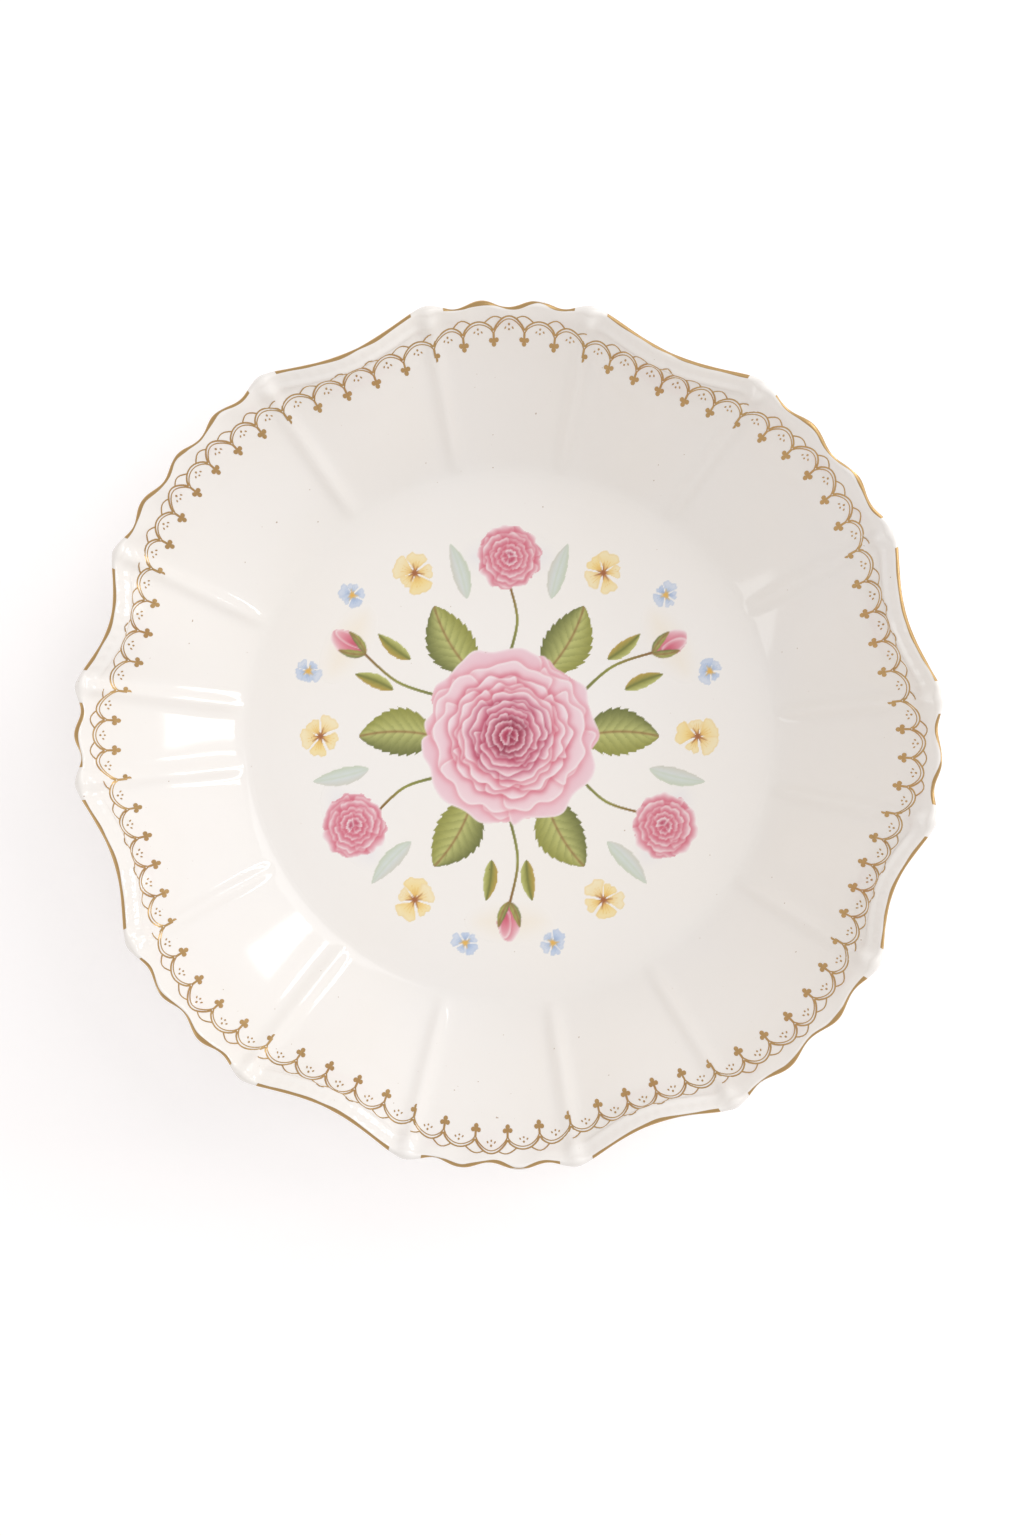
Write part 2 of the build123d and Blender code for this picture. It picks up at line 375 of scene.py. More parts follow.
def bisque_material():
    glaze = bpy.context.scene.glaze
    material, nodes, links, shader = new_material("bisque")
    base = tuple(glaze.bisque)
    dark = tuple(c * 0.78 for c in base)
    tone = ramp(nodes, links, object_noise(nodes, links, 220.0, 5.0, 0.7), [(0.3, dark), (0.65, base)])
    links.new(tone, shader.inputs["Base Color"])
    shader.inputs["Roughness"].default_value = 0.85
    add_bump(nodes, links, shader, object_noise(nodes, links, 1500.0, 4.0), 0.2 * MM)
    return material


def gold_material():
    glaze = bpy.context.scene.glaze
    material, nodes, links, shader = new_material("gilding")
    tone = ramp(nodes, links, object_noise(nodes, links, 240.0, 4.0, 0.65),
                [(0.45, tuple(glaze.worn)), (0.56, tuple(glaze.gold))])
    links.new(tone, shader.inputs["Base Color"])
    shader.inputs["Metallic"].default_value = 0.55
    rough = nodes.new("ShaderNodeMapRange")
    rough.inputs["To Min"].default_value = 0.22
    rough.inputs["To Max"].default_value = 0.5
    links.new(object_noise(nodes, links, 400.0, 3.0), rough.inputs["Value"])
    links.new(rough.outputs["Result"], shader.inputs["Roughness"])
    return material


def paint_material():
    """Enamel that tints the porcelain by the colour of each point, under the same glaze."""
    material, nodes, links, shader = new_material("flower_enamel")
    paint = nodes.new("ShaderNodeVertexColor")
    paint.layer_name = "paint"
    tinted = multiply(nodes, links, porcelain_tone(nodes, links), paint.outputs["Color"])
    links.new(tinted, shader.inputs["Base Color"])
    glaze_finish(nodes, links, shader)
    return material


# --- The body


def body_profile():
    """(kind, t) down one section: well, inside, lip, outside."""
    rows = [("well", share) for share in (0.0, 0.2, 0.4, 0.6, 0.8, 0.93)]
    rows += [("inside", i / 58) for i in range(59)]
    rows += [("lip", a) for a in (0.12, 0.3, 0.5, 0.7, 0.88)]
    rows += [("outside", 1 - i / 30) for i in range(31)]
    return rows


def outside(number, u, t):
    """(radius, height) of the outside, a wall's thickness from the inside."""
    bowl = bpy.context.scene.bowl
    radius, height = inside(number, u, t, False)
    ahead = inside(number, u, min(1.0, t + 0.02), False)
    behind = inside(number, u, max(0.0, t - 0.02), False)
    across, rise = ahead[0] - behind[0], ahead[1] - behind[1]
    length = hypot(across, rise)
    thick = bowl.wall * (1.3 - 0.3 * min(1.0, t * 2)) * (1.0 - 0.42 * max(0.0, (t - 0.5) * 2))
    return radius + thick * rise / length, height - thick * across / length


def section_point(row, number, u):
    bowl = bpy.context.scene.bowl
    kind, value = row
    start, span, _ = STRETCHES[number]
    bearing = start + span * u
    if kind == "well":
        return (*on_compass(bearing, bowl.well_radius * value), bowl.well_height)
    if kind == "inside":
        return tuple(surface(number, u, value))
    if kind == "lip":
        inner = surface(number, u, 1.0)
        outer_radius, outer_height = outside(number, u, 1.0)
        inner_radius = hypot(inner.x, inner.y)
        middle = (inner_radius + outer_radius) / 2, (inner.z + outer_height) / 2
        arm = inner_radius - middle[0], inner.z - middle[1]
        turn = -pi * value
        radius = middle[0] + arm[0] * cos(turn) - arm[1] * sin(turn)
        height = middle[1] + arm[0] * sin(turn) + arm[1] * cos(turn)
        return (*on_compass(bearing, radius), height)
    radius, height = outside(number, u, value) if kind == "outside" else value
    return (*on_compass(bearing, radius), height)


class BOWL_OT_body(bpy.types.Operator):
    """Spin the bowl's section, then press the flutes, ribs, ripples and reeds into it"""

    bl_idname = "bowl.body"
    bl_label = "Porcelain body"

    def execute(self, context):
        bowl = context.scene.bowl
        under = outside(0, 0.5, 0.0)[1]
        foot, width, curve = bowl.foot_radius, bowl.foot_width, 1.0 * MM
        rows = body_profile()
        inner = foot - width
        # The foot ring and the underside, as (radius, height).
        ring = [
            (foot + 5 * MM, under), (foot + 1.2 * MM, under), (foot + 0.3 * MM, under - 0.5 * MM),
            (foot, under - 1.3 * MM), (foot, curve), (foot - 0.3 * MM, 0.3 * MM), (foot - curve, 0.0),
            (inner + curve, 0.0), (inner + 0.3 * MM, 0.3 * MM), (inner, curve), (inner, under - curve),
            (inner - 0.4 * MM, under - 0.3 * MM), (inner - 1.4 * MM, under),
            (foot * 0.6, under), (foot * 0.3, under), (0.0, under),
        ]
        rows += [("round", spot) for spot in ring]
        fresh("bowl_body")
        mesh = bpy.data.meshes.new("bowl_body")
        line = [section_point(row, 0, 0.0) for row in rows]
        bent = [(0.0, hypot(x, y), z) for x, y, z in line]
        mesh.from_pydata(bent, [(i, i + 1) for i in range(len(bent) - 1)], [])
        body = bpy.data.objects.new("bowl_body", mesh)
        context.scene.collection.objects.link(body)
        pick(body)
        bpy.ops.object.mode_set(mode="EDIT")
        bpy.ops.mesh.select_all(action="SELECT")
        count = STEPS * len(STRETCHES)
        bpy.ops.mesh.spin(steps=count, angle=-2 * pi, center=(0, 0, 0), axis=(0, 0, 1))
        bpy.ops.object.mode_set(mode="OBJECT")
        total = len(rows)
        for index, vertex in enumerate(mesh.vertices):
            turn, row = divmod(index, total)
            number, step = divmod(turn % count, STEPS)
            vertex.co = section_point(rows[row], number, step / STEPS)
        bpy.ops.object.mode_set(mode="EDIT")
        bpy.ops.mesh.select_all(action="SELECT")
        bpy.ops.mesh.remove_doubles(threshold=1e-6)
        bpy.ops.mesh.normals_make_consistent(inside=False)
        bpy.ops.object.mode_set(mode="OBJECT")
        bpy.ops.object.shade_smooth_by_angle(angle=radians(50))
        mesh.materials.append(porcelain_material())
        mesh.materials.append(bisque_material())
        for polygon in mesh.polygons:
            middle = polygon.center
            if middle.z < 0.25 * MM and hypot(middle.x, middle.y) < foot:
                polygon.material_index = 1
        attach(body, "root")
        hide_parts("porcelain_body")
        return {"FINISHED"}


# --- Gold


def ribbon(points, widths, lift, verts, faces):
    """A flat ribbon along points given as (number, u, radius), laid on the wall."""
    first = len(verts)
    spots = []
    for number, u, radius in points:
        spots.append(surface(number, u, level_at(number, u, radius), lift))
    for i, spot in enumerate(spots):
        along = (spots[min(i + 1, len(spots) - 1)] - spots[max(i - 1, 0)]).normalized()
        outward = Vector((spot.x, spot.y, 0)).normalized()
        normal = (Vector((0, 0, 1)) * 0.65 - outward * 0.75).normalized()
        side = along.cross(normal).normalized() * widths[i] / 2
        verts.extend([spot - side, spot + side])
    for i in range(len(spots) - 1):
        a = first + 2 * i
        faces.append((a, a + 1, a + 3, a + 2))


def dot(number, u, radius, size, lift, verts, faces, sides=8, stretch=1.0, turn=0.0):
    """A small disc or oval laid on the wall."""
    span = STRETCHES[number][1]
    first = len(verts)
    for i in range(sides):
        angle = 2 * pi * i / sides
        across, along = size * cos(angle), size * stretch * sin(angle)
        across, along = (across * cos(turn) - along * sin(turn), across * sin(turn) + along * cos(turn))
        share = min(max(u + across / radius / radians(span), 0), 1)
        verts.append(surface(number, share, level_at(number, share, radius + along), lift))
    faces.append(tuple(range(first, first + sides)))


def lace_radius(number, u):
    lace = bpy.context.scene.lace
    kind = STRETCHES[number][2]
    swing = lace.swing * sin(pi * u)
    return lace.radius + (swing if kind == "scallop" else -swing)


# The dots of a drop's trefoil, in millimetres: across, along and radius.
TREFOIL = ((-0.85, 0.1, 0.68), (0.85, 0.1, 0.68), (0, -0.95, 0.72), (0, 0, 0.4))


class BOWL_OT_lace(bpy.types.Operator):
    """Draw the gold lace: arches, bridges, trefoils and drops, repeated along every stretch"""

    bl_idname = "bowl.lace"
    bl_label = "Gold lace"

    def execute(self, context):
        lace = context.scene.lace
        verts, faces = [], []
        line, lift = lace.line, lace.lift
        for number, (_, span, _) in enumerate(STRETCHES):
            count = round(radians(span) * lace.radius / lace.pitch)
            for i in range(count):
                for rise, width in ((0.0, line), (-0.75 * MM, line * 0.7)):
                    points = []
                    for step in range(13):
                        share = step / 12
                        u = (i + share) / count
                        bulge = 3.0 * MM * sin(pi * share) ** 0.7
                        points.append((number, u, lace_radius(number, u) + bulge + rise))
                    ribbon(points, [width] * 13, lift, verts, faces)
                bridge = []
                for step in range(7):
                    share = step / 6
                    u = (i + 0.72 + 0.56 * share) / count
                    if u > 1:
                        continue
                    bulge = 2.5 * MM + 1.1 * MM * sin(pi * share)
                    bridge.append((number, u, lace_radius(number, u) + bulge))
                if len(bridge) > 3:
                    ribbon(bridge, [line * 0.8] * len(bridge), lift, verts, faces)
                u = i / count
                joint = lace_radius(number, u)
                low = joint - 2.6 * MM
                stem = [(number, u, joint - 0.4 * MM + (low - joint) * s / 3) for s in range(4)]
                ribbon(stem, [line * 1.1] * 4, lift, verts, faces)
                for across, along, size in TREFOIL:
                    share = u + across * MM / low / radians(span)
                    dot(number, share, low + along * MM, size * MM, lift, verts, faces)
                u = (i + 0.5) / count
                middle = lace_radius(number, u)
                dot(number, u, middle + 1.0 * MM, 0.34 * MM, lift, verts, faces, 6)
                dot(number, u, middle - 0.2 * MM, 0.3 * MM, lift, verts, faces, 6)
                for side in (-1, 1):
                    share = u + side * 1.1 * MM / middle / radians(span)
                    dot(number, share, middle + 0.2 * MM, 0.24 * MM, lift, verts, faces, 6, 1.6, side * 0.7)
        obj = add_mesh("lace_border", verts, faces, bpy.data.materials.get("gilding") or gold_material())
        face_up(obj)
        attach(obj, "root")
        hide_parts("gold_lace")
        return {"FINISHED"}


def face_up(obj):
    """Turn a film's faces so that they look out of the bowl."""
    mesh = bmesh.new()
    mesh.from_mesh(obj.data)
    for face in mesh.faces:
        face.normal_update()
        if face.normal.z < 0:
            face.normal_flip()
    mesh.to_mesh(obj.data)
    mesh.free()


class BOWL_OT_gilding(bpy.types.Operator):
    """Draw the worn gold line along the lip"""

    bl_idname = "bowl.gilding"
    bl_label = "Rim gilding"

    def execute(self, context):
        verts, faces = [], []
        for number, (start, span, kind) in enumerate(STRETCHES):
            gap = 2.2 / span
            rows = []
            for i in range(STEPS * 2 + 1):
                u = gap + (1 - 2 * gap) * i / (STEPS * 2)
                worn = noise.noise(Vector((start + span * u, 0.3, number)) * 0.35)
                wide = max(0.08, 0.42 + (0.3 if kind == "swag" else 0.6) * worn)
                rows.append([Vector(section_point(("lip", 0.42 + (share - 0.5) * 0.95 * wide), number, u))
                             for share in (0, 0.25, 0.5, 0.75, 1)])
            first = len(verts)
            for row in rows:
                for spot in row:
                    outward = Vector((spot.x, spot.y, 0)).normalized()
                    verts.append(spot + (outward * 0.5 + Vector((0, 0, 0.8))).normalized() * 0.05 * MM)
            for i in range(len(rows) - 1):
                for k in range(4):
                    a = first + i * 5 + k
                    faces.append((a, a + 5, a + 6, a + 1))
        obj = add_mesh("gold_edge", verts, faces, bpy.data.materials.get("gilding") or gold_material())
        face_up(obj)
        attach(obj, "root")
        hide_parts("rim_gilding")
        return {"FINISHED"}


# --- The stage


class BOWL_OT_stage(bpy.types.Operator):
    """Set out the pale floor, the soft lights and the camera above the bowl"""

    bl_idname = "bowl.stage"
    bl_label = "Stage"

    def execute(self, context):
        scene = context.scene
        deselect()
        fresh("floor")
        bpy.ops.mesh.primitive_plane_add(size=6.0, location=(0, 0, 0))
        floor = context.object
        floor.name = "floor"
        material, _, _, shader = new_material("floor")
        shader.inputs["Base Color"].default_value = (0.96, 0.95, 0.955, 1)
        shader.inputs["Roughness"].default_value = 0.9
        shader.inputs["Specular IOR Level"].default_value = 0.0
        shader.inputs["Emission Color"].default_value = (1, 0.99, 1, 1)
        shader.inputs["Emission Strength"].default_value = 0.12
        floor.data.materials.append(material)
        world = bpy.data.worlds.new("studio")
        scene.world = world
        world.use_nodes = True
        sky = world.node_tree.nodes["Background"].inputs
        sky["Color"].default_value = (1.0, 0.965, 0.945, 1)
        sky["Strength"].default_value = 0.71
        lights = [
            ("overhead", (0.0, -0.2, 2.2), (1.6, 1.6), 6.5),
            ("key", (1.1, 0.9, 1.5), (1.4, 1.4), 8.0),
            ("window", (1.6, -0.05, 0.6), (0.16, 0.5), 2.2),
            ("far_window", (1.58, 0.22, 0.6), (0.16, 0.5), 2.2),
            ("side_window", (1.2, 1.1, 0.6), (0.12, 0.5), 1.6),
            ("reflector", (-1.5, -0.7, 0.75), (0.5, 0.5), 1.2),
            ("back_window", (1.02, 1.27, 0.6), (0.12, 0.5), 1.6),
        ]
        for name, place, size, power in lights:
            fresh(name)
            data = bpy.data.lights.new(name, "AREA")
            data.shape = "RECTANGLE"
            data.size, data.size_y = size
            data.energy = power
            data.color = (0.95, 0.98, 1.0)
            lamp = bpy.data.objects.new(name, data)
            lamp.location = place
            lamp.rotation_mode = "QUATERNION"
            lamp.rotation_quaternion = (Vector((0, 0, 0.02)) - Vector(place)).to_track_quat("-Z", "Y")
            lamp.visible_glossy = name != "overhead"
            scene.collection.objects.link(lamp)
        fresh("camera")
        distance, tall = 1.0, 0.46
        data = bpy.data.cameras.new("camera")
        data.sensor_width = 36
        data.lens = 36 * distance / tall
        camera = bpy.data.objects.new("camera", data)
        camera.location = (0.9 * MM, -9.9 * MM, context.scene.bowl.rim_height + distance)
        scene.collection.objects.link(camera)
        scene.camera = camera
        scene.view_settings.view_transform = "Standard"
        return {"FINISHED"}


# --- Painting on the well

# Paint colours as seen on the finished bowl, in 0 to 255.
BLUSH = (236, 211, 215)
PINK = (232, 182, 190)
ROSE = (222, 142, 156)
DEEP = (206, 98, 118)
CRIMSON = (172, 58, 86)
WINE = (138, 42, 66)
GLAZE = (242, 238, 234)
GOLDEN = (226, 176, 88)
YELLOW = (240, 212, 140)
STRAW = (242, 226, 180)
OLIVE = (140, 140, 66)
MOSS = (104, 108, 56)
LIME = (192, 194, 120)
OCHRE = (186, 156, 78)
UMBER = (128, 82, 48)
RUST = (160, 98, 60)
SAGE = (196, 204, 182)
MIST = (214, 221, 222)
SKY = (208, 216, 232)
GREY = (206, 204, 192)


def mix(a, b, share):
    return tuple(p + (q - p) * share for p, q in zip(a, b))


def smooth_loop(points, steps=6):
    """A smooth closed line through the points."""
    count, line = len(points), []
    for i in range(count):
        quad = [points[(i + k) % count] for k in (-1, 0, 1, 2)]
        line += [hermite(quad, step / steps) for step in range(steps)]
    return line


def smooth_path(points, steps=8):
    """A smooth open line through the points."""
    ends = [points[0], *points, points[-1]]
    line = []
    for i in range(len(points) - 1):
        line += [hermite(ends[i:i + 4], step / steps) for step in range(steps)]
    return line + [points[-1]]


def hermite(quad, f):
    p0, p1, p2, p3 = quad
    return tuple(
        0.5 * (2 * b + (c - a) * f + (2 * a - 5 * b + 4 * c - d) * f * f
               + (3 * b - a - 3 * c + d) * f ** 3)
        for a, b, c, d in zip(p0, p1, p2, p3)
    )


class Paint:
    """The transfer, painted on a fine grid of points over the well, in millimetres.

    Each dab is mixed over what is there. Every point keeps the name of the motif it ended in,
    and each motif becomes its own film."""

    pitch = 0.32
    left, bottom = -72.0, -72.0
    columns, rows = 451, 451

    def __init__(self):
        self.xs = self.left + self.pitch * np.arange(self.columns)
        self.ys = self.bottom + self.pitch * np.arange(self.rows)
        self.colour = np.empty((self.rows, self.columns, 3))
        self.colour[:] = GLAZE
        self.owner = np.full((self.rows, self.columns), -1)
        self.motifs = []
        self.petals_from = 99

    def begin(self, node):
        self.motifs.append(node)

    def window(self, points, margin):
        """The grid's part round these points, as slices and coordinates."""
        low_x, high_x = min(p[0] for p in points) - margin, max(p[0] for p in points) + margin
        low_y, high_y = min(p[1] for p in points) - margin, max(p[1] for p in points) + margin
        i0, i1 = np.searchsorted(self.xs, (low_x, high_x))
        j0, j1 = np.searchsorted(self.ys, (low_y, high_y))
        x, y = np.meshgrid(self.xs[i0:i1], self.ys[j0:j1])
        return (slice(j0, j1), slice(i0, i1)), x, y

    def lay(self, part, alpha, colour, own=0.4):
        alpha = np.clip(alpha, 0.0, 1.0)
        self.colour[part] += (colour - self.colour[part]) * alpha[..., None]
        self.owner[part][alpha > own] = len(self.motifs) - 1

    def to_line(self, x, y, line, closed):
        """(distance to the line, share along it) of each point."""
        nearest = np.full(x.shape, 1e9)
        along = np.zeros(x.shape)
        count = len(line) if closed else len(line) - 1
        for i in range(count):
            (ax, ay), (bx, by) = line[i], line[(i + 1) % len(line)]
            dx, dy = bx - ax, by - ay
            length = dx * dx + dy * dy or 1e-9
            f = np.clip(((x - ax) * dx + (y - ay) * dy) / length, 0, 1)
            away = (x - ax - f * dx) ** 2 + (y - ay - f * dy) ** 2
            closer = away < nearest
            nearest[closer] = away[closer]
            along[closer] = (i + f[closer]) / count
        return np.sqrt(nearest), along

    def depth(self, x, y, line):
        """How far inside a closed line each point lies, negative outside it."""
        away, _ = self.to_line(x, y, line, True)
        inside_it = np.zeros(x.shape, bool)
        for (ax, ay), (bx, by) in zip(line, line[1:] + line[:1]):
            if ay == by:
                continue
            crossing = (y < ay) != (y < by)
            inside_it ^= crossing & (x < ax + (y - ay) * (bx - ax) / (by - ay))
        return np.where(inside_it, away, -away)

    def patch(self, outline, root, colours, edge=None, edge_share=0.0, soft=0.0, strength=1.0,
              line=0.7, frill=0.0, shade=None):
        """A filled outline. Colours run from the root outwards, and the edge takes its own. A
        petal is frilled, finely streaked, and shades the petals that lie under it."""
        loop = smooth_loop(outline)
        part, x, y = self.window(loop, 3.0)
        depth = self.depth(x, y, loop)
        dx, dy = x - root[0], y - root[1]
        angle = np.arctan2(dy, dx)
        if frill:
            depth += frill * (np.sin(11 * angle + root[0]) + 0.7 * np.sin(23 * angle + root[1]))
        if shade:
            under = np.exp(-((np.minimum(depth, 0) / 1.3) ** 2)) * (self.owner[part] >= self.petals_from)
            self.lay(part, 0.5 * under, np.array(shade, float), 9)
        away = np.hypot(dx, dy) / max(hypot(p[0] - root[0], p[1] - root[1]) for p in loop)
        colour = ramp3(colours, away)
        if edge:
            share = edge_share * np.exp(-((depth / line) ** 2))
            colour = colour + (np.array(edge) - colour) * share[..., None]
        if shade:
            streaks = np.sin(31 * angle + 3 * np.sin(7 * angle)) + np.sin(53 * angle + root[0])
            faint = ((0.9 - away) * streaks)[..., None] * np.array((0.006, 0.02, 0.016))
            colour = colour * (1 + faint)
        if soft:
            f = np.clip(depth / soft, 0, 1)
            self.lay(part, strength * f * f * (3 - 2 * f), colour, 0.02)
        else:
            self.lay(part, strength * (depth / self.pitch + 0.5), colour)

    def petal(self, outline, root, colours, edge=(243, 234, 234), edge_share=0.7, shade=DEEP):
        self.patch(outline, root, colours, edge, edge_share, line=0.55, frill=0.12, shade=shade)

    def stroke(self, points, widths, colours, steps=8, soft=False, strength=1.0):
        """A brush stroke that swells and fades between its three widths and three colours."""
        line = smooth_path(points, steps)
        part, x, y = self.window(line, max(widths) + 1.0)
        away, along = self.to_line(x, y, line, False)
        wide = ramp3([(w,) for w in widths], along)[..., 0]
        colour = ramp3(colours, along)
        if soft:
            alpha = strength * np.exp(-((2 * away / np.maximum(wide, 0.1)) ** 2))
            self.lay(part, alpha, colour, 0.5)
        else:
            alpha = (wide / 2 + self.pitch / 2 - away) / self.pitch
            self.lay(part, np.minimum(alpha, 1) * np.minimum(1, wide / self.pitch) * strength, colour)

    def leaf(self, base, tip, width, colours, bend=0.0, teeth=8, veins=7, rib=UMBER, dark=0.35):
        """A toothed leaf with a midrib and side veins, shaded between them."""
        along = tip[0] - base[0], tip[1] - base[1]
        length = hypot(*along)
        unit = along[0] / length, along[1] / length
        part, x, y = self.window([base, tip], width * 0.75 + abs(bend) + 1)
        s = ((x - base[0]) * unit[0] + (y - base[1]) * unit[1]) / length
        inner = np.clip(s, 1e-4, 1 - 1e-4)
        full = np.sin(pi * inner ** 0.85) ** 0.75
        across = (y - base[1]) * unit[0] - (x - base[0]) * unit[1]
        across -= bend * 4 * inner * (1 - inner)
        tooth = ((inner - 0.1 * np.abs(across) / width) * teeth) % 1.0
        half = width / 2 * full * (0.93 + 0.12 * tooth)
        v = across / np.maximum(half, 0.05)
        colour = ramp3(colours, 0.5 + 0.5 * v)
        phase = ((inner - 0.25 * np.abs(v)) * veins) % 1.0
        shade = dark * (1 - np.minimum(1, phase / 0.6)) * (0.4 + 0.6 * (1 - np.minimum(1, np.abs(v))))
        colour = colour + (np.array(MOSS if dark > 0.2 else rib) - colour) * shade[..., None]
        colour = colour + (np.array(rib) - colour) * (0.6 * np.exp(-((across / 0.4) ** 2)))[..., None]
        depth = np.where((s > 0) & (s < 1), half - np.abs(across), -1)
        self.lay(part, depth / self.pitch + 0.5, colour)

    def whorl(self, centre, rings, reach=0.3):
        """Rings of overlapping, frilled petals round a centre, the outermost first."""
        for radius, count, phase, colours, shade in rings:
            for i in range(count):
                angle = radians(phase + 9 * sin(4.7 * i + phase)) + 2 * pi * i / count
                spread = pi / count * (1.5 + 0.35 * sin(2.9 * i + phase))
                far = radius * (1 + 0.05 * sin(3.3 * i + 1.7 * phase))
                outline = []
                for k in range(9):
                    across = k / 4 - 1
                    a = angle + spread * across
                    frill = far * (1 + 0.04 * sin(4.1 * k + 2.3 * i) - 0.1 * abs(across) ** 3)
                    outline.append((centre[0] + frill * cos(a), centre[1] + frill * sin(a)))
                for end in (outline[-1], outline[0]):
                    outline.append((centre[0] + (end[0] - centre[0]) * reach,
                                    centre[1] + (end[1] - centre[1]) * reach))
                self.petal(outline, centre, colours, shade=shade)

    def blossom(self, place, radius, petals, colours, eye, turn=0.0):
        """A small open flower: petals and a dark eye with stamens."""
        for i in range(petals):
            a = radians(turn + 7 * sin(5.3 * i + place[1])) + 2 * pi * i / petals
            half = pi / petals * (1.12 + 0.16 * sin(3.1 * i + place[0]))
            outline = []
            for share, wide in ((0.12, 0.2), (0.6, 0.8), (0.92, 0.8), (1.05, 0.35),
                                (0.97, 0.0), (1.04, -0.35), (0.94, -0.8), (0.6, -0.8), (0.12, -0.2)):
                b = a + half * wide
                far = radius * share * (1 + 0.15 * sin(2.7 * i + place[0]))
                outline.append((place[0] + far * cos(b), place[1] + far * sin(b)))
            tone = [mix(c, GLAZE, 0.18 + 0.18 * sin(2.1 * i + place[1])) for c in colours]
            self.patch(outline, place, tone, mix(colours[0], colours[1], 0.4), 0.4, line=0.5, frill=0.12)
            for swing in (-0.3, 0.0, 0.3):
                b = a + half * swing
                tip = place[0] + radius * 0.75 * cos(b), place[1] + radius * 0.75 * sin(b)
                self.stroke([place, tip], (0.7, 0.4, 0.1), (colours[0],) * 3, 2, True, 0.45)
        for i in range(petals * 2):
            a = radians(turn) + pi * i / petals + 0.3
            far = radius * (0.24 + 0.12 * (i % 3))
            self.stroke([place, (place[0] + far * cos(a), place[1] + far * sin(a))],
                        (0.5, 0.45, 0.3), (eye, eye, mix(eye, colours[1], 0.4)), 2)

    def wash(self, outline, colour, soft=9.0, strength=0.55):
        """A soft haze that fades into the glaze."""
        self.patch(outline, outline[0], (colour,) * 3, soft=soft, strength=strength)

    def film(self, node):
        """(points, faces, colours) of one motif's film, its edge tucked into the porcelain."""
        number = self.motifs.index(node)
        blocks = np.stack([self.owner[:-1, :-1], self.owner[1:, :-1],
                           self.owner[:-1, 1:], self.owner[1:, 1:]])
        mine = np.argwhere(blocks.max(axis=0) == number)
        well = bpy.context.scene.bowl.well_height
        tint = (scene_linear(self.colour) / scene_linear(np.array(GLAZE))) ** 0.95
        verts, faces, colours, index = [], [], [], {}
        for j, i in mine:
            corners = []
            for corner in ((j, i), (j, i + 1), (j + 1, i + 1), (j + 1, i)):
                if corner not in index:
                    index[corner] = len(verts)
                    lift = 0.03 if self.owner[corner] >= 0 else -0.02
                    verts.append((self.xs[corner[1]] * MM, self.ys[corner[0]] * MM, well + lift * MM))
                    colours.append(tint[corner])
                corners.append(index[corner])
            faces.append(corners)
        return verts, faces, colours


def scene_linear(colour):
    """Scene-linear values of an array of colours in 0 to 255."""
    return ((colour / 255 + 0.055) / 1.055) ** 2.4


def ramp3(stops, share):
    """Three colours along an array of shares from 0 to 1."""
    start, middle, end = (np.array(stop, float) for stop in stops)
    share = np.clip(share, 0, 1)[..., None]
    low, high = np.minimum(share * 2, 1), np.maximum(share * 2 - 1, 0)
    return start + (middle - start) * low + (end - middle) * high


def oval(centre, size, turn=0.0, points=10):
    """Points of an oval."""
    c, s = cos(radians(turn)), sin(radians(turn))
    found = []
    for i in range(points):
        a = 2 * pi * i / points
        x, y = size[0] * cos(a), size[1] * sin(a)
        found.append((centre[0] + x * c - y * s, centre[1] + x * s + y * c))
    return found


# The layout: a round rose in the middle and one garland, repeated round it. Radii are from the
# centre of the bowl, and bearings are those of the first garland.
GARLANDS = 3
ROSE_RADIUS = 27.0
ROSE_INNER = 0.7
ROSE_HEART = 0.34
SMALL_ROSE_BEARING = 0.0
SMALL_ROSE_PLACE = 56.0
SMALL_ROSE_RADIUS = 10.0
BUD_BEARING = 60.0
BUD_PLACE = 58.0
BUD_SIZE = (4.6, 6.4)
# Leaves as (bearings, radius of the base, radius of the tip, width).
ROSE_LEAVES = ([30.0, 90.0], 23.0, 47.0, 15.0)
PALE_LEAVES = ([-17.0, 17.0], 45.0, 63.0, 5.5)
SPRIG_LEAVES = ([52.0, 68.0], 39.0, 52.0, 4.5)
# Blossoms as (bearings, radius of the place, radius of the blossom).
YELLOW_BLOSSOMS = ([30.0, 90.0], 59.0, 6.0)
BLUE_BLOSSOMS = ([48.0, 72.0], 66.0, 3.8)
# Stems as (bearing, radius of the base, radius of the tip, sway of the middle in degrees).
STEMS = [
    (SMALL_ROSE_BEARING, 25.0, 48.0, 4.0),
    (BUD_BEARING, 25.0, 53.0, -4.0),
]


def repeated(bearings):
    """These bearings in every garland."""
    turn = 360 / GARLANDS
    return [bearing + turn * number for number in range(GARLANDS) for bearing in bearings]


def paint_leaves(paint, layout, colours, **look):
    """Leaves that point outwards, bent a little to either side in turn."""
    bearings, base, tip, width = layout
    for number, bearing in enumerate(repeated(bearings)):
        bend = width * (0.1 if number % 2 else -0.1)
        paint.leaf(on_compass(bearing, base), on_compass(bearing, tip), width, colours, bend, **look)


def paint_pale_leaves(paint):
    """A soft haze under the garlands, and the pale leaves beside the small roses."""
    paint.begin("pale_leaves")
    for bearing in repeated([SMALL_ROSE_BEARING]):
        paint.wash(oval(on_compass(bearing, SMALL_ROSE_PLACE), (17, 9), -bearing), (226, 224, 230))
    for bearing in repeated([BUD_BEARING]):
        paint.wash(oval(on_compass(bearing, BUD_PLACE), (15, 8), -bearing), (240, 228, 208))
    paint_leaves(paint, PALE_LEAVES, (SAGE, MIST, GREY), teeth=5, veins=5, rib=SAGE, dark=0.15)


